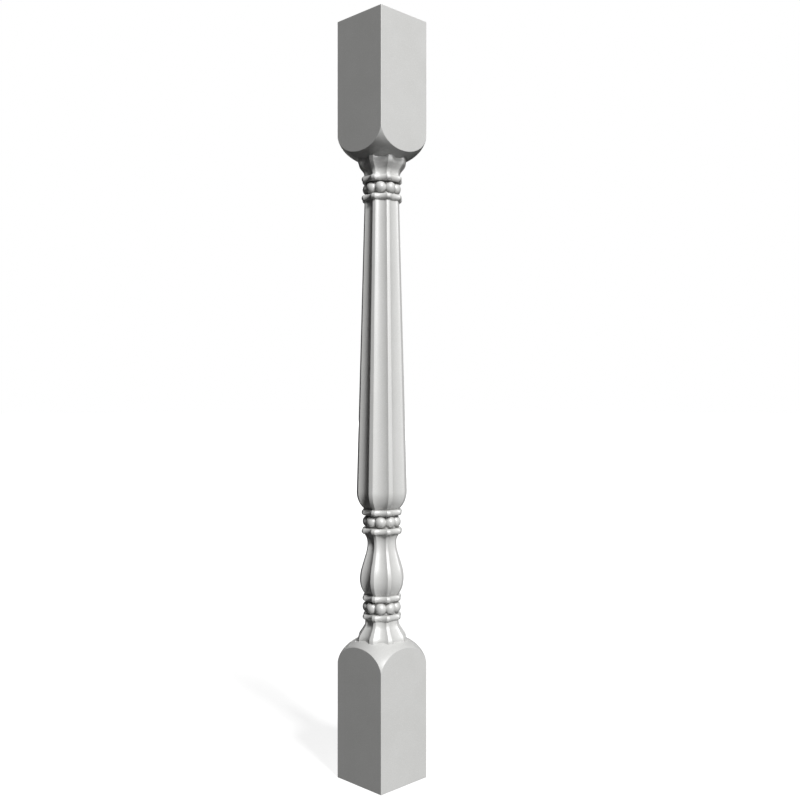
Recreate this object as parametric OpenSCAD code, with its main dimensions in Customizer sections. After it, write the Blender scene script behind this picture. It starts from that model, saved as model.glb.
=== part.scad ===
// Stone baluster, carved as one piece: a square block at each end, and between
// them a fluted body with a flared foot, a vase, a tapered shaft and a flared
// crown, parted by three bands of beads. The origin is the middle of the
// underside, and Z runs up the axis.

/* [Overall] */
// Height from the underside to the top face
height = 900; // [760:5:1200]
// Width of the square end blocks
block_w = 75; // [66:1:110]

/* [End blocks] */
// Height of each block's straight part, up to where its corners start to round over
block_h = 134.6; // [60:0.1:190]
// Rise of the domed shoulder above the straight part
shoulder_rise = 36.7; // [26:0.1:46]

/* [Flutes] */
// Number of flutes round the body
flute_count = 8; // [6:1:12]
// Width of the plain strip between two flutes, in degrees round the axis
fillet_angle = 9.7; // [4:0.1:14]
// How far a flute's hollow bends from edge to edge, in degrees of its own arc
flute_bend = 56; // [20:1:80]
// Turn of the flutes about the axis, from the middle of a block face
flute_turn = -1.8; // [-22.5:0.1:22.5]

/* [Bead bands] */
// Distance between the middles of a band's two rings
ring_pitch = 22.2; // [18:0.1:28]
// Height of one ring
ring_h = 7.6; // [5:0.1:9.5]
// Radius of the two rings of the lowest band
foot_ring_r = 23.8; // [21:0.1:30]
// Radius of the rings of the middle and the top band
ring_r = 25; // [22:0.1:31]
// Radius of the core behind the beads
core_r = 17.5; // [15:0.1:20.5]
// Number of beads in a band
bead_count = 9; // [7:1:12]
// Radius of the circle through the middles of the beads
bead_circle_r = 15.8; // [13:0.1:19]
// Clearance between a bead and the rings above and below it
bead_clear = 0.05; // [0.05:0.05:0.5]

/* [Foot] */
// Height from the straight part of the lower block to the lowest ring
foot_h = 54.8; // [46:0.1:66]
// Radius of the flared rims, where the body meets the shoulders
flare_r = 29.7; // [24.5:0.1:32]
// Upright lip of a flared rim, above the shoulder
lip_h = 1.9; // [0.5:0.1:3]
// Radius of the foot's neck, under the lowest ring
foot_neck_r = 20.6; // [17:0.1:22]
// Upright part of that neck
foot_neck_h = 2.8; // [0.5:0.1:5]
// Radius of the hollow round below the foot's neck
foot_hollow_r = 11.8; // [6:0.1:16]
// Radius of the swelling round above the foot's rim
foot_swell_r = 8.6; // [4:0.1:12]

/* [Vase] */
// Height of the vase, between the lowest and the middle band
vase_h = 71.6; // [59:0.1:90]
// Largest radius of the vase, at its belly
belly_r = 27; // [22.5:0.1:33]
// Height of the belly above the lowest band
belly_z = 18.2; // [12:0.1:22]
// Radius of the belly's profile below its widest level
belly_low_r = 27; // [23:0.5:40]
// Radius of the belly's profile above its widest level
belly_high_r = 47; // [20:0.5:60]
// Radius of the vase's neck
vase_neck_r = 17.8; // [14.5:0.1:21.5]
// Depth of the neck's narrowest level below the middle band
vase_neck_z = 10.5; // [6:0.1:14]
// Radius of the neck's profile below its narrowest level
vase_hollow_low_r = 41; // [20:0.5:60]
// Radius of the neck's profile above its narrowest level
vase_hollow_high_r = 17.2; // [14.5:0.1:30]

/* [Shaft] */
// Radius of the shaft at its widest level
shaft_r = 30.9; // [25.5:0.1:37]
// Height of that level above the middle band
shaft_swell_z = 20.2; // [14:0.1:22]
// Radius of the profile below the widest level
shaft_swell_r = 26; // [23:0.1:36]
// Radius of the shaft at its top, under the top band
shaft_top_r = 21.4; // [17.5:0.1:24]

/* [Crown] */
// Height from the top band to the straight part of the upper block
crown_h = 50.8; // [45:0.1:61]
// Radius of the crown's neck, above the top band
crown_neck_r = 21.8; // [18:0.1:23]
// Upright part of that neck
crown_neck_h = 1.1; // [0.5:0.1:3]
// Radius of the hollow round above the crown's neck
crown_hollow_r = 10.6; // [6:0.1:16]
// Radius of the swelling round under the crown's rim
crown_swell_r = 10.6; // [4:0.1:16]

/* [Hidden] */
STONE = [0.80, 0.80, 0.785];

// Steps of the curves: a shoulder, a flute, an arc of the profile, the shaft's
// swelling, a ring's half-round edge, the whole turn of a shoulder and of a bead
shoulder_steps = 24;
flute_steps = 5;
arc_steps = 5;
swell_steps = 8;
ring_steps = 6;
shoulder_sides = 96;
bead_sides = 32;

// The shoulder is a dome that starts just outside the block's corners
corner_margin = 0.02;
shoulder_r = block_w / sqrt(2) + corner_margin;

// Levels of the bands, worked out from the blocks inwards
band_h = ring_pitch + ring_h;
z_foot_band = block_h + foot_h;
z_vase = z_foot_band + band_h;
z_mid_band = z_vase + vase_h;
z_shaft = z_mid_band + band_h;
z_crown = height - block_h - crown_h;
z_top_band = z_crown - band_h;

// Where the flared rims leave the shoulders
rim_rise = shoulder_rise * sqrt(1 - pow(flare_r / shoulder_r, 2)) + lip_h;
z_foot_rim = block_h + rim_rise;
z_crown_rim = height - block_h - rim_rise;

// The beads fill the space between the rings, and the first is at the front
bead_r = (ring_pitch - ring_h) / 2 - bead_clear;
bead_turn = -90;

// Share of its room that an S-curve of two arcs may take
curve_room = 0.98;

// --- profile of the fluted body, as [radius, height] points from the bottom up ---

// Points of an arc of radius r round c, from angle a to angle b
function arc(c, r, a, b, steps = arc_steps) =
    [for (i = [0:steps]) let (t = a + (b - a) * i / steps) c + r * [cos(t), sin(t)]];

// How far off upright an S-curve leans where its arcs, of total radius r, meet
// the straight between them, when it is w wide and h high
function s_lean(w, h, r) = atan2(h, r - w) - acos(r / norm([r - w, h]));

// S-curve from an upright wide end to an upright narrow end: an arc, a straight
// and an arc. The arcs shrink together where they have no room.
function s_curve(wide, narrow, r_wide, r_narrow) =
    let (w = wide[0] - narrow[0],
         h = abs(narrow[1] - wide[1]),
         up = sign(narrow[1] - wide[1]),
         room = (w * w + h * h) / (2 * w),
         fit = min(1, curve_room * room / (r_wide + r_narrow)),
         rw = fit * r_wide,
         rn = fit * r_narrow,
         lean = up * s_lean(w, h, rw + rn))
    concat(
        arc([wide[0] - rw, wide[1]], rw, 0, lean),
        arc([narrow[0] + rn, narrow[1]], rn, 180 + lean, 180)
    );

// Half-round edge of a ring whose middle is at height z, without its inner ends
function ring_edge(r, z) =
    let (edge_r = ring_h / 2)
    [for (i = [1:ring_steps - 1]) let (t = 180 * i / ring_steps - 90)
        [r - edge_r + edge_r * cos(t), z + edge_r * sin(t)]];

// A band from height z up: two rings of radius r, with the core between them
function band_profile(r, z) = concat(
    ring_edge(r, z + ring_h / 2),
    [[core_r, z + ring_h], [core_r, z + ring_pitch]],
    ring_edge(r, z + ring_pitch + ring_h / 2)
);

function foot_profile() = concat(
    [[flare_r, block_h]],
    s_curve([flare_r, z_foot_rim], [foot_neck_r, z_foot_band - foot_neck_h],
            foot_swell_r, foot_hollow_r),
    [[foot_neck_r, z_foot_band]]
);

function vase_profile() =
    let (belly = z_vase + belly_z,
         neck = z_mid_band - vase_neck_z,
         low = asin(belly_z / belly_low_r),
         high = asin(vase_neck_z / vase_hollow_high_r),
         belly_arc = arc([belly_r - belly_low_r, belly], belly_low_r, -low, 0),
         neck_arc = arc([vase_neck_r + vase_hollow_high_r, neck],
                        vase_hollow_high_r, 180, 180 - high))
    concat(
        [for (i = [0:arc_steps - 1]) belly_arc[i]],
        s_curve([belly_r, belly], [vase_neck_r, neck], belly_high_r, vase_hollow_low_r),
        [for (i = [1:arc_steps]) neck_arc[i]]
    );

function shaft_profile() =
    let (swell = z_shaft + shaft_swell_z,
         low = asin(shaft_swell_z / shaft_swell_r),
         taper = atan((shaft_r - shaft_top_r) / (z_top_band - swell)))
    concat(
        arc([shaft_r - shaft_swell_r, swell], shaft_swell_r, -low, taper, swell_steps),
        [[shaft_top_r, z_top_band]]
    );

function crown_profile() =
    let (down = s_curve([flare_r, z_crown_rim], [crown_neck_r, z_crown + crown_neck_h],
                        crown_swell_r, crown_hollow_r))
    concat(
        [[crown_neck_r, z_crown]],
        [for (i = [len(down) - 1:-1:0]) down[i]],
        [[flare_r, height - block_h]]
    );

PROFILE = concat(
    foot_profile(),
    band_profile(foot_ring_r, z_foot_band),
    vase_profile(),
    band_profile(ring_r, z_mid_band),
    shaft_profile(),
    band_profile(ring_r, z_top_band),
    crown_profile()
);

// --- section of the fluted body, for a radius of 1 ---

function turned(p, a) = [p[0] * cos(a) - p[1] * sin(a), p[0] * sin(a) + p[1] * cos(a)];

// One flute's hollow, from the edge of one plain strip to the edge of the next
function hollow() =
    let (reach = 180 / flute_count - fillet_angle / 2,
         bend = flute_bend / 2,
         r = sin(reach) / sin(bend),
         middle = cos(reach) + r * cos(bend))
    [for (i = [0:flute_steps]) let (t = bend * (2 * i / flute_steps - 1))
        [middle - r * cos(t), r * sin(t)]];

SECTION = [
    for (k = [0:flute_count - 1])
        for (p = hollow()) turned(p, flute_turn + k * 360 / flute_count)
];

// Square block standing on the origin, with its top cut to a dome
module end_block() {
    dome = [for (i = [0:shoulder_steps]) let (t = 90 * i / shoulder_steps)
        [shoulder_r * cos(t), block_h + shoulder_rise * sin(t)]];
    outside = 2 * shoulder_r;
    above = block_h + 2 * shoulder_rise;
    difference() {
        translate([-block_w / 2, -block_w / 2, 0])
            cube([block_w, block_w, block_h + shoulder_rise]);
        rotate_extrude($fn = shoulder_sides)
            polygon(concat(dome, [[0, above], [outside, above], [outside, block_h]]));
    }
}

// The section, scaled to the radius of each level of the profile
module fluted_body() {
    n = len(SECTION);
    top = len(PROFILE) - 1;
    points = [
        for (level = PROFILE)
            for (p = SECTION) [p[0] * level[0], p[1] * level[0], level[1]]
    ];
    walls = [
        for (i = [0:top - 1])
            for (j = [0:n - 1])
                let (next = (j + 1) % n)
                [i * n + j, (i + 1) * n + j, (i + 1) * n + next, i * n + next]
    ];
    lower_end = [for (j = [0:n - 1]) j];
    upper_end = [for (j = [n - 1:-1:0]) top * n + j];
    polyhedron(points = points, faces = concat([lower_end], walls, [upper_end]));
}

// Ring of beads round the height z
module bead_row(z) {
    for (k = [0:bead_count - 1])
        rotate([0, 0, bead_turn + k * 360 / bead_count])
            translate([bead_circle_r, 0, z])
                sphere(r = bead_r, $fn = bead_sides);
}

module baluster() {
    color(STONE) {
        end_block();
        translate([0, 0, height]) mirror([0, 0, 1]) end_block();
        fluted_body();
        for (z = [z_foot_band, z_mid_band, z_top_band])
            bead_row(z + band_h / 2);
    }
}

baluster();
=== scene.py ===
"""Looks of the stone baluster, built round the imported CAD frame.

The whole baluster is one carved piece, so it is one closed mesh here too: two
square blocks with domed shoulders, the fluted body between them, and three
rows of beads. Lengths are in millimetres up to the moment a mesh is made, and
repeat the named sizes of the CAD source. Z runs up the axis.
"""

from math import acos, asin, atan, atan2, cos, degrees, hypot, radians, sin, sqrt, tan

import bmesh
import bpy
import numpy as np
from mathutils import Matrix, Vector


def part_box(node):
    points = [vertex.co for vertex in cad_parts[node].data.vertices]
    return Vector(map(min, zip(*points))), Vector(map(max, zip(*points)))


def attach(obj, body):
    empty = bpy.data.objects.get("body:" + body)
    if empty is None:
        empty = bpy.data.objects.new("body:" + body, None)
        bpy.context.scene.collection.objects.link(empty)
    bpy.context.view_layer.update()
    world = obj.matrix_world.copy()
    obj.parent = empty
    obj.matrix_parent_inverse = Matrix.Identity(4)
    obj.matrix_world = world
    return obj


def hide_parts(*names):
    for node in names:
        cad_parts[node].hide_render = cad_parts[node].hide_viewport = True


MM = 0.001

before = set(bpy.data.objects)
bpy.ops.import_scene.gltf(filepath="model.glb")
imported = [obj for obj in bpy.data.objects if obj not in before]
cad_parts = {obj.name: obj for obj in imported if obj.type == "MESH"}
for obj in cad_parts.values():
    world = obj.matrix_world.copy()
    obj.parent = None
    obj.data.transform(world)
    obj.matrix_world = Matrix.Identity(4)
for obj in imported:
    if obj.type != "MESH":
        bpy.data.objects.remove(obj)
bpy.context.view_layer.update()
low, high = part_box("baluster")

# ------------------------------------------------------------------ sizes (mm)

HEIGHT = (high.z - low.z) / MM
BLOCK_W = (high.x - low.x) / MM

BLOCK_H = 134.6
SHOULDER_RISE = 36.7
SHOULDER_R = BLOCK_W / sqrt(2)

FLUTES = 8
FILLET_ANGLE = 9.7
FLUTE_BEND = 56
FLUTE_TURN = -1.8

RING_PITCH = 22.2
RING_H = 7.6
FOOT_RING_R = 23.8
RING_R = 25
CORE_R = 17.5
BEADS = 9
BEAD_CIRCLE_R = 15.8
BEAD_CLEAR = 0.05
BEAD_TURN = -90

FOOT_H = 54.8
FLARE_R = 29.7
LIP_H = 1.9
FOOT_NECK_R = 20.6
FOOT_NECK_H = 2.8
FOOT_HOLLOW_R = 11.8
FOOT_SWELL_R = 8.6

VASE_H = 71.6
BELLY_R = 27
BELLY_Z = 18.2
BELLY_LOW_R = 27
BELLY_HIGH_R = 47
VASE_NECK_R = 17.8
VASE_NECK_Z = 10.5
VASE_HOLLOW_LOW_R = 41
VASE_HOLLOW_HIGH_R = 17.2

SHAFT_R = 30.9
SHAFT_SWELL_Z = 20.2
SHAFT_SWELL_R = 26
SHAFT_TOP_R = 21.4

CROWN_H = 50.8
CROWN_NECK_R = 21.8
CROWN_NECK_H = 1.1
CROWN_HOLLOW_R = 10.6
CROWN_SWELL_R = 10.6

# How far the mason's rubbing has rounded the edges: of the blocks, and of the
# strips between the flutes for a body radius of 1
EDGE_R = 0.5
ARRIS_R = 0.02

# Worked out from the sizes above
BAND_H = RING_PITCH + RING_H
Z_FOOT_BAND = BLOCK_H + FOOT_H
Z_VASE = Z_FOOT_BAND + BAND_H
Z_MID_BAND = Z_VASE + VASE_H
Z_SHAFT = Z_MID_BAND + BAND_H
Z_CROWN = HEIGHT - BLOCK_H - CROWN_H
Z_TOP_BAND = Z_CROWN - BAND_H
RIM_RISE = SHOULDER_RISE * sqrt(1 - (FLARE_R / SHOULDER_R) ** 2) + LIP_H
Z_FOOT_RIM = BLOCK_H + RIM_RISE
Z_CROWN_RIM = HEIGHT - BLOCK_H - RIM_RISE
BEAD_R = (RING_PITCH - RING_H) / 2 - BEAD_CLEAR

# Steps of the curves
HOLLOW_STEPS = 16
ARRIS_STEPS = 3
STRIP_STEPS = 2
CURVE_STEPS = 10
RING_STEPS = 12
SHAFT_STEPS = 24
EDGE_STEPS = 4
CORNER_STEPS = 9
ARCH_STEPS = 12
SKIRT_STEPS = 6
PRISM_STEPS = 4
BEAD_SEGMENTS = 40
BEAD_RINGS = 28
BEAD_ROUNDS = 3

# Degrees round from a face's middle within which an arch has its own even steps
ARCH_FROM = 30
# Times that the search for a level of the dome halves its range
LEVEL_HALVINGS = 50

# In metres: points of a new mesh this close become one, edges this short go, and
# so do the slivers that the unions leave
SAME = 1e-6
SHORTEST = 1e-7
WELD = 1e-5

# Faces that meet at more than this, in degrees, keep a sharp edge
SHARP_ANGLE = 32

# ------------------------------------------------- profile of the fluted body


def arc(centre, radius, start, end, steps=CURVE_STEPS):
    """Points [radius, height] of an arc, from one angle to another in degrees."""
    t = np.radians(np.linspace(start, end, steps + 1))
    return np.c_[centre[0] + radius * np.cos(t), centre[1] + radius * np.sin(t)]


def s_curve(wide, narrow, r_wide, r_narrow):
    """From an upright wide end to an upright narrow end: an arc, a straight, an arc."""
    w = wide[0] - narrow[0]
    h = abs(narrow[1] - wide[1])
    up = np.sign(narrow[1] - wide[1])
    r = r_wide + r_narrow
    lean = up * degrees(atan2(h, r - w) - acos(r / hypot(r - w, h)))
    return np.vstack([
        arc((wide[0] - r_wide, wide[1]), r_wide, 0, lean),
        arc((narrow[0] + r_narrow, narrow[1]), r_narrow, 180 + lean, 180),
    ])


def ring(radius, z, below, above):
    """Half-round ring; below and above are the radii of what it springs from."""
    edge_r = RING_H / 2
    inner = radius - edge_r
    first = degrees(acos(max(0, (below - inner) / edge_r)))
    last = degrees(acos(max(0, (above - inner) / edge_r)))
    return arc((inner, z), edge_r, -first, last, RING_STEPS)


def band(radius, z, below, above):
    """Two rings with the core between them, from height z up."""
    return np.vstack([
        ring(radius, z + RING_H / 2, below, CORE_R),
        [[CORE_R, z + RING_H], [CORE_R, z + RING_PITCH]],
        ring(radius, z + RING_PITCH + RING_H / 2, CORE_R, above),
    ])


def foot():
    neck = (FOOT_NECK_R, Z_FOOT_BAND - FOOT_NECK_H)
    return s_curve((FLARE_R, Z_FOOT_RIM), neck, FOOT_SWELL_R, FOOT_HOLLOW_R)


def vase():
    belly = Z_VASE + BELLY_Z
    neck = Z_MID_BAND - VASE_NECK_Z
    low_angle = degrees(asin(BELLY_Z / BELLY_LOW_R))
    high_angle = degrees(asin(VASE_NECK_Z / VASE_HOLLOW_HIGH_R))
    swell = arc((BELLY_R - BELLY_LOW_R, belly), BELLY_LOW_R, -low_angle, 0)
    middle = s_curve((BELLY_R, belly), (VASE_NECK_R, neck), BELLY_HIGH_R, VASE_HOLLOW_LOW_R)
    hollow_centre = (VASE_NECK_R + VASE_HOLLOW_HIGH_R, neck)
    top = arc(hollow_centre, VASE_HOLLOW_HIGH_R, 180, 180 - high_angle)
    return np.vstack([swell[:-1], middle, top[1:]])


def shaft():
    swell = Z_SHAFT + SHAFT_SWELL_Z
    low_angle = degrees(asin(SHAFT_SWELL_Z / SHAFT_SWELL_R))
    taper = degrees(atan((SHAFT_R - SHAFT_TOP_R) / (Z_TOP_BAND - swell)))
    foot_arc = arc((SHAFT_R - SHAFT_SWELL_R, swell), SHAFT_SWELL_R, -low_angle, taper)
    top = np.array([SHAFT_TOP_R, Z_TOP_BAND])
    rise = np.linspace(0, 1, SHAFT_STEPS + 1)[1:, None]
    return np.vstack([foot_arc, foot_arc[-1] + rise * (top - foot_arc[-1])])


def crown():
    neck = (CROWN_NECK_R, Z_CROWN + CROWN_NECK_H)
    return s_curve((FLARE_R, Z_CROWN_RIM), neck, CROWN_SWELL_R, CROWN_HOLLOW_R)[::-1]


def body_profile():
    """Every level of the body from the foot's rim to the crown's rim."""
    vase_rows = vase()
    shaft_rows = shaft()
    return np.vstack([
        foot(),
        band(FOOT_RING_R, Z_FOOT_BAND, FOOT_NECK_R, vase_rows[0][0]),
        vase_rows,
        band(RING_R, Z_MID_BAND, vase_rows[-1][0], shaft_rows[0][0]),
        shaft_rows,
        band(RING_R, Z_TOP_BAND, SHAFT_TOP_R, CROWN_NECK_R),
        crown(),
    ])


# ------------------------------------------------- section of the fluted body


def rounded_corner(corner, before, after, radius, steps):
    """Points of an arc that rounds a corner between two unit directions of travel."""
    turn = acos(float(np.clip(np.dot(before, after), -1, 1)))
    reach = radius * tan(turn / 2)
    inward = after - before
    centre = corner + inward / np.linalg.norm(inward) * hypot(radius, reach)
    first = corner - before * reach - centre
    last = corner + after * reach - centre
    t = np.linspace(0, 1, steps + 1)[:, None]
    return centre + (np.sin((1 - t) * turn) * first + np.sin(t * turn) * last) / sin(turn)


def turned(points, angle):
    a = radians(angle)
    return points @ np.array([[cos(a), sin(a)], [-sin(a), cos(a)]])


def flute_section():
    """One flute for a body radius of 1, from the middle of its hollow to the next one's.

    It has half a hollow, an arris, the plain strip, an arris and half a hollow.
    """
    half = 180 / FLUTES
    reach = radians(half - FILLET_ANGLE / 2)
    bend = radians(FLUTE_BEND / 2)
    r = sin(reach) / sin(bend)
    middle = cos(reach) + r * cos(bend)
    corner = np.array([cos(reach), sin(reach)])
    into = np.array([sin(bend), cos(bend)])
    out = np.array([-sin(reach), cos(reach)])
    arris = rounded_corner(corner, into, out, ARRIS_R, ARRIS_STEPS)
    stop = atan2(arris[0][1], middle - arris[0][0])
    t = np.linspace(0, stop, HOLLOW_STEPS // 2 + 1)[:-1]
    hollow = np.c_[middle - r * np.cos(t), r * np.sin(t)]
    strip_from = atan2(arris[-1][1], arris[-1][0])
    strip_t = np.linspace(strip_from, 2 * radians(half) - strip_from, STRIP_STEPS + 1)[1:-1]
    strip = np.c_[np.cos(strip_t), np.sin(strip_t)]
    first_half = np.vstack([hollow, arris])
    mirrored = first_half[::-1] * [1, -1]
    return np.vstack([first_half, strip, turned(mirrored, 2 * half)[:-1]])


def body_section():
    """The whole section for a body radius of 1; its first point is in a hollow's middle."""
    flute = flute_section()
    return np.vstack([
        turned(flute, FLUTE_TURN + k * 360 / FLUTES) for k in range(FLUTES)
    ])


# ------------------------------------------------------------- building a mesh


class Shell:
    """Collects closed loops of points and joins neighbouring loops with quads."""

    def __init__(self):
        self.points = []
        self.faces = []
        self.count = 0

    def loop(self, points):
        start = self.count
        self.points.append(np.asarray(points, float))
        self.count += len(points)
        return np.arange(start, self.count)

    def join(self, lower, upper):
        for a, b, c, d in zip(lower, np.roll(lower, -1), np.roll(upper, -1), upper):
            self.faces.append((a, b, c, d))

    def stack(self, loops):
        rows = [self.loop(points) for points in loops]
        for lower, upper in zip(rows, rows[1:]):
            self.join(lower, upper)
        return rows

    def cap(self, row, facing_up):
        self.faces.append(tuple(row) if facing_up else tuple(row[::-1]))

    def add(self, points, faces):
        start = self.count
        self.points.append(points)
        self.count += len(points)
        self.faces += [tuple(start + i for i in face) for face in faces]

    def mesh(self, name):
        """Welds coincident points, and returns the closed mesh in metres."""
        bm = bmesh.new()
        verts = [bm.verts.new(p * MM) for p in np.vstack(self.points)]
        for face in self.faces:
            bm.faces.new([verts[i] for i in face])
        bmesh.ops.remove_doubles(bm, verts=bm.verts, dist=SAME)
        bmesh.ops.dissolve_degenerate(bm, edges=bm.edges, dist=SHORTEST)
        mesh = bpy.data.meshes.new(name)
        bm.to_mesh(mesh)
        bm.free()
        return mesh


# ------------------------------------------------------------------ the blocks


def quarter_turns(quadrant):
    """The four quadrants of a loop, from the one between +X and +Y."""
    turns = []
    for k in range(4):
        c, s = round(cos(k * np.pi / 2)), round(sin(k * np.pi / 2))
        turns.append(quadrant @ np.array([[c, s, 0], [-s, c, 0], [0, 0, 1]]))
    return np.vstack(turns)


def slerp(a, b, steps):
    """Unit directions from a to b, both ends included."""
    turn = acos(float(np.clip(np.dot(a, b), -1, 1)))
    t = np.linspace(0, 1, steps + 1)[:, None]
    return (np.sin((1 - t) * turn) * a + np.sin(t * turn) * b) / sin(turn)


def mirrored_quadrant(half):
    """A quadrant from its first half: the mirror image across the diagonal, reversed."""
    return half[::-1][:, [1, 0, 2]]


def square_loop(z, tilt):
    """Loop of the square prism with rounded corners, for an edge normal tilted down."""
    inner = BLOCK_W / 2 - EDGE_R
    level = sin(radians(tilt))
    out = cos(radians(tilt))
    flat = np.array([[inner + EDGE_R * out, 0, z + EDGE_R * level]])
    t = np.radians(np.linspace(0, 90, 2 * EDGE_STEPS + 1))
    corner = np.c_[
        inner + EDGE_R * out * np.cos(t),
        inner + EDGE_R * out * np.sin(t),
        np.full(len(t), z + EDGE_R * level),
    ]
    return quarter_turns(np.vstack([flat, corner]))


def shoulder_level(t):
    """Radius, height and outward normal of the shoulder's dome at the angle t."""
    point = np.array([SHOULDER_R * cos(t), SHOULDER_RISE * sin(t)])
    normal = np.array([cos(t) / SHOULDER_R, sin(t) / SHOULDER_RISE])
    return point, normal / np.linalg.norm(normal)


def arch_loop(t, dome_columns):
    """Loop round the block at a level of the dome: flats, rounded arch edges, dome."""
    point, normal = shoulder_level(t)
    inner = BLOCK_W / 2 - EDGE_R
    rho, z = point - EDGE_R * normal
    alpha = min(acos(min(1, inner / rho)), np.pi / 4)
    edge = np.array([inner, inner * tan(alpha), BLOCK_H + z])
    face_normal = np.array([1.0, 0, 0])
    dome_normal = np.array([normal[0] * cos(alpha), normal[0] * sin(alpha), normal[1]])
    rounding = edge + EDGE_R * slerp(face_normal, dome_normal, EDGE_STEPS)
    flat = np.array([[BLOCK_W / 2, 0, BLOCK_H + z]])
    half = np.vstack([flat, rounding])
    angles = np.linspace(alpha, np.pi / 2 - alpha, dome_columns + 1)[1:-1]
    reach = hypot(*rounding[-1][:2])
    dome = np.c_[
        reach * np.cos(angles), reach * np.sin(angles), np.full(len(angles), rounding[-1][2])
    ]
    return quarter_turns(np.vstack([half, dome, mirrored_quadrant(half)[:-1]]))


def level_angle(inner_radius):
    """The dome's angle at which its surface, moved in by EDGE_R, has this radius."""
    a, b = 0.0, np.pi / 2
    for _ in range(LEVEL_HALVINGS):
        t = (a + b) / 2
        point, normal = shoulder_level(t)
        if point[0] - EDGE_R * normal[0] > inner_radius:
            a = t
        else:
            b = t
    return (a + b) / 2


def dome_height(radius):
    return BLOCK_H + SHOULDER_RISE * np.sqrt(1 - (radius / SHOULDER_R) ** 2)


def block(section):
    """The lower block up to where the body's flared rim stands on its dome.

    Returns its shell and the loop of point numbers at that rim.
    """
    shell = Shell()
    columns = len(section)

    rows = [square_loop(EDGE_R, tilt) for tilt in np.linspace(-90, 0, EDGE_STEPS + 1)]
    rows += [square_loop(BLOCK_H * step / PRISM_STEPS, 0) for step in range(1, PRISM_STEPS)]
    prism = shell.stack(rows)
    shell.cap(prism[0], facing_up=False)

    # From the level where the dome first cuts the corners, evenly by the dome's
    # angle, and then up to the arches' tops, evenly along the arches
    inner = BLOCK_W / 2 - EDGE_R
    corner_angle = level_angle(inner * sqrt(2))
    halves = np.linspace(radians(ARCH_FROM), 0, ARCH_STEPS + 1)
    arch_angles = [level_angle(inner / cos(half)) for half in halves]
    levels = np.r_[np.linspace(corner_angle, arch_angles[0], CORNER_STEPS + 1), arch_angles[1:]]
    arches = [arch_loop(t, columns // 4) for t in levels]
    shell.stack(arches)

    # The prism's corners have no dome columns yet, and the first arch loop's coincide
    corner = arches[0].reshape(4, -1, 3)
    before = list(range(EDGE_STEPS + 2))
    after = list(range(corner.shape[1] - EDGE_STEPS, corner.shape[1]))
    first_row = shell.loop(corner[:, before + after].reshape(-1, 3))
    shell.join(prism[-1], first_row)

    # The dome above the arches, in to the rim of the body
    per_quadrant = arches[-1].reshape(4, -1, 3)
    dome_edge = per_quadrant[:, EDGE_STEPS + 1:EDGE_STEPS + 1 + columns // 4].reshape(-1, 3)
    outer_r = np.hypot(dome_edge[:, 0], dome_edge[:, 1])
    outer_a = np.arange(columns) * 2 * np.pi / columns
    rim_r = FLARE_R * np.hypot(section[:, 0], section[:, 1])
    rim_a = np.arctan2(section[:, 1], section[:, 0])
    turn = (rim_a - outer_a + np.pi) % (2 * np.pi) - np.pi
    skirt = [dome_edge]
    for share in np.linspace(0, 1, SKIRT_STEPS + 1)[1:]:
        r = outer_r + (rim_r - outer_r) * share
        a = outer_a + turn * share
        skirt.append(np.c_[r * np.cos(a), r * np.sin(a), dome_height(r)])
    rim = shell.stack(skirt)[-1]
    return shell, rim


def upside_down(points):
    return points * [1, 1, -1] + [0, 0, HEIGHT]


def baluster_mesh():
    """The blocks and the fluted body, as one closed mesh."""
    section = body_section()
    lower, rim = block(section)
    block_points = np.vstack(lower.points)
    shell = Shell()
    shell.add(block_points, lower.faces)
    shell.add(upside_down(block_points), [face[::-1] for face in lower.faces])
    rows = [np.c_[section * radius, np.full(len(section), z)] for radius, z in body_profile()]
    lower_rim = block_points[rim]
    shell.stack([lower_rim] + rows + [upside_down(lower_rim)])
    return shell.mesh("baluster_body")


def bead_mesh(z, turns):
    """Beads that don't touch each other, at these turns round the axis, in degrees."""
    bm = bmesh.new()
    for turn in turns:
        made = bmesh.ops.create_uvsphere(
            bm, u_segments=BEAD_SEGMENTS, v_segments=BEAD_RINGS, radius=BEAD_R * MM
        )
        a = radians(turn)
        place = Vector((cos(a) * BEAD_CIRCLE_R, sin(a) * BEAD_CIRCLE_R, z)) * MM
        bmesh.ops.translate(bm, verts=made["verts"], vec=place)
    mesh = bpy.data.meshes.new("beads")
    bm.to_mesh(mesh)
    bm.free()
    return mesh


def weld(mesh, reach):
    """Merges points closer than reach, where solids met at a sliver.

    Faces of over four corners, which the unions leave, are then split in triangles.
    """
    bm = bmesh.new()
    bm.from_mesh(mesh)
    bmesh.ops.remove_doubles(bm, verts=bm.verts, dist=reach)
    bmesh.ops.dissolve_degenerate(bm, edges=bm.edges, dist=reach)
    many_sided = [face for face in bm.faces if len(face.verts) > 4]
    bmesh.ops.triangulate(bm, faces=many_sided, ngon_method="BEAUTY")
    bm.to_mesh(mesh)
    bm.free()


def evaluated(obj):
    """The object's mesh with its modifiers applied."""
    graph = bpy.context.evaluated_depsgraph_get()
    return bpy.data.meshes.new_from_object(obj.evaluated_get(graph))


def unite(obj, mesh):
    """Joins a closed mesh into the object as solids join."""
    tool = bpy.data.objects.new("tool", mesh)
    bpy.context.scene.collection.objects.link(tool)
    union = obj.modifiers.new("union", "BOOLEAN")
    union.operation = "UNION"
    union.solver = "MANIFOLD"
    union.object = tool
    bpy.context.view_layer.update()
    joined = evaluated(obj)
    obj.modifiers.clear()
    obj.data = joined
    bpy.data.objects.remove(tool)


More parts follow.
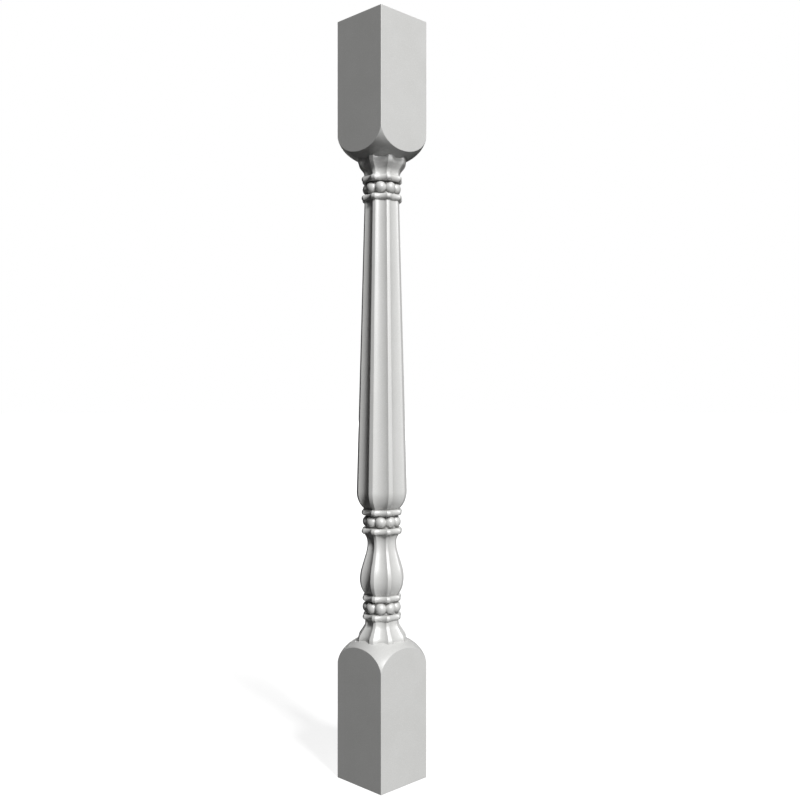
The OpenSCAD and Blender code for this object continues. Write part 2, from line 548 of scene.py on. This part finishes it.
def make_baluster():
    """The whole carved piece, with its beads joined in and its normals set."""
    obj = bpy.data.objects.new("carved_baluster", baluster_mesh())
    bpy.context.scene.collection.objects.link(obj)
    for z in (Z_FOOT_BAND, Z_MID_BAND, Z_TOP_BAND):
        # Neighbouring beads overlap, so they join in rounds of beads that don't
        for first in range(BEAD_ROUNDS):
            turns = [BEAD_TURN + k * 360 / BEADS for k in range(first, BEADS, BEAD_ROUNDS)]
            unite(obj, bead_mesh(z + BAND_H / 2, turns))
    weld(obj.data, WELD)
    obj.data.name = "carved_baluster"
    obj.data.shade_smooth()
    obj.data.set_sharp_from_angle(angle=radians(SHARP_ANGLE))
    weighted = obj.modifiers.new("weighted", "WEIGHTED_NORMAL")
    weighted.keep_sharp = True
    obj.data = evaluated(obj)
    obj.modifiers.clear()
    return obj


baluster = make_baluster()
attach(baluster, "root")
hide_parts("baluster")

# ------------------------------------------------------------------- materials

# Scales of the stone's patterns, in features to the metre
CLOUD_SCALE = 22
VEIL_SCALE = 6
GRAIN_SCALE = 1100
FLECK_SCALE = 480
SPECK_SCALE = 700
PORE_SCALE = 210

# Tones of the stone, and the dark tone of the shade painted into its recesses
PALE = (0.82, 0.82, 0.806)
DEEP = (0.765, 0.765, 0.748)
GRAIN_TONE = (0.69, 0.69, 0.672)
FLECK_TONE = (0.89, 0.89, 0.88)
SPECK_TONE = (0.56, 0.555, 0.54)
PORE_TONE = (0.6, 0.595, 0.575)
# Painted shade: the dark tone laid into recesses, where shade falls
PAINTED_SHADE_TONE = (0.25, 0.246, 0.238)

# Ranges of a noise over which its pattern grows from nothing to its full share
CLOUD_RANGE = (0.32, 0.68)
VEIL_RANGE = (0.4, 0.7)
GRAIN_RANGE = (0.5, 0.7)

# Sizes of the spots, as shares of the spacing: their solid middle and their rim
FLECK_SPAN = (0.1, 0.32)
SPECK_SPAN = (0.06, 0.2)
PORE_SPAN = (0.03, 0.1)
# Range of the clouds over which pinholes begin to appear
PORE_BEDS = (0.5, 0.62)

# How much of its tone each pattern adds at most
VEIL_SHARE = 0.35
GRAIN_SHARE = 0.6
FLECK_SHARE = 0.65
SPECK_SHARE = 0.5
# Share of the painted shade in the most closed-in recesses
PAINTED_SHADE_SHARE = 0.78

# Shade painted into a recess: how far away its walls may be, in metres, and the openness
# at which the painted shade starts to fade and has faded away
PAINTED_SHADE_REACH = 0.012
PAINTED_SHADE_SPAN = (0.25, 0.88)
PAINTED_SHADE_SAMPLES = 8

# Gloss of the honed face, which follows the grain over this range of its noise
ROUGHNESS = (0.35, 0.45)
ROUGHNESS_RANGE = (0.3, 0.7)
STONE_IOR = 1.6

# Strength of the bumps, and their height in metres
GRAIN_BUMP = (0.3, 0.00012)
PORE_BUMP = (0.6, 0.0002)


def add_node(tree, kind, **inputs):
    """Node of a kind, with these inputs set; spaces in their names are written as _."""
    node = tree.nodes.new(kind)
    for name, value in inputs.items():
        node.inputs[name.replace("_", " ")].default_value = value
    return node


def add_noise(tree, place, scale, detail, roughness):
    """Noise of the given scale, in features to the metre, as a value from 0 to 1."""
    noise = add_node(
        tree, "ShaderNodeTexNoise", Scale=scale, Detail=detail, Roughness=roughness
    )
    tree.links.new(place, noise.inputs["Vector"])
    return noise.outputs["Fac"]


def add_cells(tree, place, scale):
    """Distance to the nearest of points strewn at this scale, in points to the metre."""
    cells = add_node(tree, "ShaderNodeTexVoronoi", Scale=scale)
    tree.links.new(place, cells.inputs["Vector"])
    return cells.outputs["Distance"]


def add_range(tree, value, source, target, smooth=False):
    """Maps a value from one range to another."""
    ranged = tree.nodes.new("ShaderNodeMapRange")
    ranged.interpolation_type = "SMOOTHSTEP" if smooth else "LINEAR"
    ranged.inputs["From Min"].default_value, ranged.inputs["From Max"].default_value = source
    ranged.inputs["To Min"].default_value, ranged.inputs["To Max"].default_value = target
    tree.links.new(value, ranged.inputs["Value"])
    return ranged.outputs["Result"]


def add_mix(tree, share, first, second):
    """Mixes two colours; each is a colour or the output of a node."""
    mix = tree.nodes.new("ShaderNodeMix")
    mix.data_type = "RGBA"
    tree.links.new(share, mix.inputs["Factor"])
    # The node's colour sockets share their names with its other kinds of socket
    for socket, colour in ((mix.inputs[6], first), (mix.inputs[7], second)):
        if isinstance(colour, tuple):
            socket.default_value = (*colour, 1)
        else:
            tree.links.new(colour, socket)
    return mix.outputs[2]


def add_pattern(tree, tone, value, span, share, pattern_tone):
    """Lays a pattern over the stone's tone, up to this share, as a value crosses a span."""
    return add_mix(tree, add_range(tree, value, span, (0, share)), tone, pattern_tone)


def add_fading(tree, tone, value, span, share, other_tone):
    """Lays another tone over the stone's, up to this share, which fades as a value grows."""
    return add_mix(tree, add_range(tree, value, span, (share, 0), smooth=True), tone, other_tone)


def add_bump(tree, height, strength_and_distance, normal=None):
    """Bumps as high as a value, laid on the bumps of a normal if one is given."""
    strength, distance = strength_and_distance
    bump = add_node(tree, "ShaderNodeBump", Strength=strength, Distance=distance)
    tree.links.new(height, bump.inputs["Height"])
    if normal:
        tree.links.new(normal, bump.inputs["Normal"])
    return bump


def stone_material():
    """Pale, fine-grained limestone with a honed face."""
    mat = bpy.data.materials.new("stone")
    mat.use_nodes = True
    tree = mat.node_tree
    shader = tree.nodes["Principled BSDF"]
    place = tree.nodes.new("ShaderNodeTexCoord").outputs["Object"]

    # Soft clouds from the bed of the stone, its grain, and pale and dark flecks in it
    veil = add_noise(tree, place, VEIL_SCALE, detail=3, roughness=0.5)
    clouds = add_noise(tree, place, CLOUD_SCALE, detail=5, roughness=0.6)
    grain = add_noise(tree, place, GRAIN_SCALE, detail=3, roughness=0.65)
    tone = add_pattern(tree, DEEP, clouds, CLOUD_RANGE, 1, PALE)
    tone = add_pattern(tree, tone, veil, VEIL_RANGE, VEIL_SHARE, DEEP)
    tone = add_pattern(tree, tone, grain, GRAIN_RANGE, GRAIN_SHARE, GRAIN_TONE)
    flecks = add_cells(tree, place, FLECK_SCALE)
    tone = add_fading(tree, tone, flecks, FLECK_SPAN, FLECK_SHARE, FLECK_TONE)
    specks = add_cells(tree, place, SPECK_SCALE)
    tone = add_fading(tree, tone, specks, SPECK_SPAN, SPECK_SHARE, SPECK_TONE)

    # Rare pinholes, much smaller than their spacing
    cells = add_cells(tree, place, PORE_SCALE)
    sparse = add_range(tree, clouds, PORE_BEDS, (0, 1), smooth=True)
    hole = add_range(tree, cells, PORE_SPAN, (1, 0), smooth=True)
    pores = tree.nodes.new("ShaderNodeMath")
    pores.operation = "MULTIPLY"
    tree.links.new(hole, pores.inputs[0])
    tree.links.new(sparse, pores.inputs[1])
    pores = pores.outputs["Value"]
    tone = add_mix(tree, pores, tone, PORE_TONE)

    # Painted shade: recesses are made darker the more closed in they are, in place of the shade
    # that falls there
    painted_shade_occlusion = add_node(tree, "ShaderNodeAmbientOcclusion", Distance=PAINTED_SHADE_REACH)
    painted_shade_occlusion.only_local = True
    painted_shade_occlusion.samples = PAINTED_SHADE_SAMPLES
    painted_shade_openness = painted_shade_occlusion.outputs["AO"]
    tone = add_fading(tree, tone, painted_shade_openness, PAINTED_SHADE_SPAN, PAINTED_SHADE_SHARE, PAINTED_SHADE_TONE)
    tree.links.new(tone, shader.inputs["Base Color"])

    gloss = add_range(tree, grain, ROUGHNESS_RANGE, ROUGHNESS)
    tree.links.new(gloss, shader.inputs["Roughness"])
    shader.inputs["IOR"].default_value = STONE_IOR
    shader.inputs["Specular IOR Level"].default_value = 1

    grained = add_bump(tree, grain, GRAIN_BUMP)
    pitted = add_bump(tree, pores, PORE_BUMP, grained.outputs["Normal"])
    pitted.invert = True
    tree.links.new(pitted.outputs["Normal"], shader.inputs["Normal"])
    return mat


baluster.data.materials.clear()
baluster.data.materials.append(stone_material())

# ------------------------------------------------------- floor, light and camera

# All in metres, and in degrees
FLOOR_SIZE = 60
# Tone of the floor as the camera sees it, and as it throws light back
FLOOR_SEEN = 0.45
FLOOR_BOUNCE = 0.05
# The floor's own glow for the camera, and the distances over which it grows
FLOOR_GLOW = (0.8, 1)
FLOOR_GLOW_SPAN = (0.4, 2.5)

# Strength of the world as a light, and as the camera sees it
WORLD_LIGHT = 0.03
WORLD_SEEN = 1.0


def grey(value):
    return (value, value, value, 1)


def make_floor():
    """Pale floor that the camera sees as white, with the baluster's shadow on it."""
    bpy.ops.mesh.primitive_plane_add(size=FLOOR_SIZE, location=(0, 0, low.z))
    floor = bpy.context.object
    floor.name = "floor"
    mat = bpy.data.materials.new("floor")
    mat.use_nodes = True
    tree = mat.node_tree
    tree.nodes.clear()
    links = tree.links
    path = tree.nodes.new("ShaderNodeLightPath")
    place = tree.nodes.new("ShaderNodeNewGeometry")
    reach = tree.nodes.new("ShaderNodeVectorMath")
    reach.operation = "LENGTH"
    links.new(place.outputs["Position"], reach.inputs[0])
    lit = add_node(tree, "ShaderNodeBsdfDiffuse", Color=grey(FLOOR_SEEN))
    glow = add_node(tree, "ShaderNodeEmission", Color=grey(1))
    distance = reach.outputs["Value"]
    strength = add_range(tree, distance, FLOOR_GLOW_SPAN, FLOOR_GLOW, smooth=True)
    links.new(strength, glow.inputs["Strength"])
    seen = tree.nodes.new("ShaderNodeAddShader")
    links.new(lit.outputs[0], seen.inputs[0])
    links.new(glow.outputs[0], seen.inputs[1])
    bounce = add_node(tree, "ShaderNodeBsdfDiffuse", Color=grey(FLOOR_BOUNCE))
    mix = tree.nodes.new("ShaderNodeMixShader")
    links.new(path.outputs["Is Camera Ray"], mix.inputs[0])
    links.new(bounce.outputs[0], mix.inputs[1])
    links.new(seen.outputs[0], mix.inputs[2])
    output = tree.nodes.new("ShaderNodeOutputMaterial")
    links.new(mix.outputs[0], output.inputs["Surface"])
    floor.data.materials.append(mat)


def make_world():
    """White for the camera, and a faint even light for everything else."""
    world = bpy.data.worlds.new("studio")
    bpy.context.scene.world = world
    world.use_nodes = True
    nodes = world.node_tree.nodes
    links = world.node_tree.links
    background = nodes["Background"]
    background.inputs["Color"].default_value = grey(1)
    path = nodes.new("ShaderNodeLightPath")
    strength = nodes.new("ShaderNodeMapRange")
    strength.inputs["To Min"].default_value = WORLD_LIGHT
    strength.inputs["To Max"].default_value = WORLD_SEEN
    links.new(path.outputs["Is Camera Ray"], strength.inputs["Value"])
    links.new(strength.outputs["Result"], background.inputs["Strength"])


# The camera looks level at the vertical edge between the front and right faces
CAMERA_AZIMUTH = 45
CAMERA_DISTANCE = 1.1506
CAMERA_SIDESTEP = 0.0215
CAMERA_HEIGHT = 0.4496
FIELD_OF_VIEW = 45
SENSOR_WIDTH = 36

LAMP_DISTANCE = 20


def make_camera():
    """Level camera on the baluster's near edge, a little to the right of its axis."""
    data = bpy.data.cameras.new("camera")
    data.sensor_width = SENSOR_WIDTH
    data.lens = data.sensor_width / 2 / tan(radians(FIELD_OF_VIEW / 2))
    camera = bpy.data.objects.new("camera", data)
    bpy.context.scene.collection.objects.link(camera)
    a = radians(CAMERA_AZIMUTH)
    back = Vector((sin(a), -cos(a), 0))
    right = Vector((cos(a), sin(a), 0))
    camera.location = back * CAMERA_DISTANCE + right * CAMERA_SIDESTEP
    camera.location.z = CAMERA_HEIGHT
    camera.rotation_euler = (radians(90), 0, a)
    bpy.context.scene.camera = camera


def add_lamp(name, azimuth, elevation, size, power):
    """Square area lamp that faces the baluster's middle; azimuth is from the camera's."""
    data = bpy.data.lights.new(name, "AREA")
    data.size = size
    data.energy = power
    lamp = bpy.data.objects.new(name, data)
    bpy.context.scene.collection.objects.link(lamp)
    a = radians(CAMERA_AZIMUTH + azimuth)
    e = radians(elevation)
    back = Vector((sin(a) * cos(e), -cos(a) * cos(e), sin(e)))
    middle = Vector((0, 0, HEIGHT * MM / 2))
    lamp.location = middle + back * LAMP_DISTANCE
    lamp.rotation_euler = (-back).to_track_quat("-Z", "Y").to_euler()
    return lamp


make_floor()
make_world()
make_camera()
add_lamp("key", azimuth=28, elevation=41, size=3, power=3050)
add_lamp("low", azimuth=32, elevation=20, size=3, power=1250)
# The lamps behind lift the far sides, and leave no gloss on the edges of the near ones
back_lamp = add_lamp("back", azimuth=203, elevation=9, size=6, power=2200)
back_lamp.visible_glossy = False
rear_lamp = add_lamp("rear", azimuth=165, elevation=12, size=6, power=1000)
rear_lamp.visible_glossy = False

bpy.context.scene.view_settings.view_transform = "Standard"
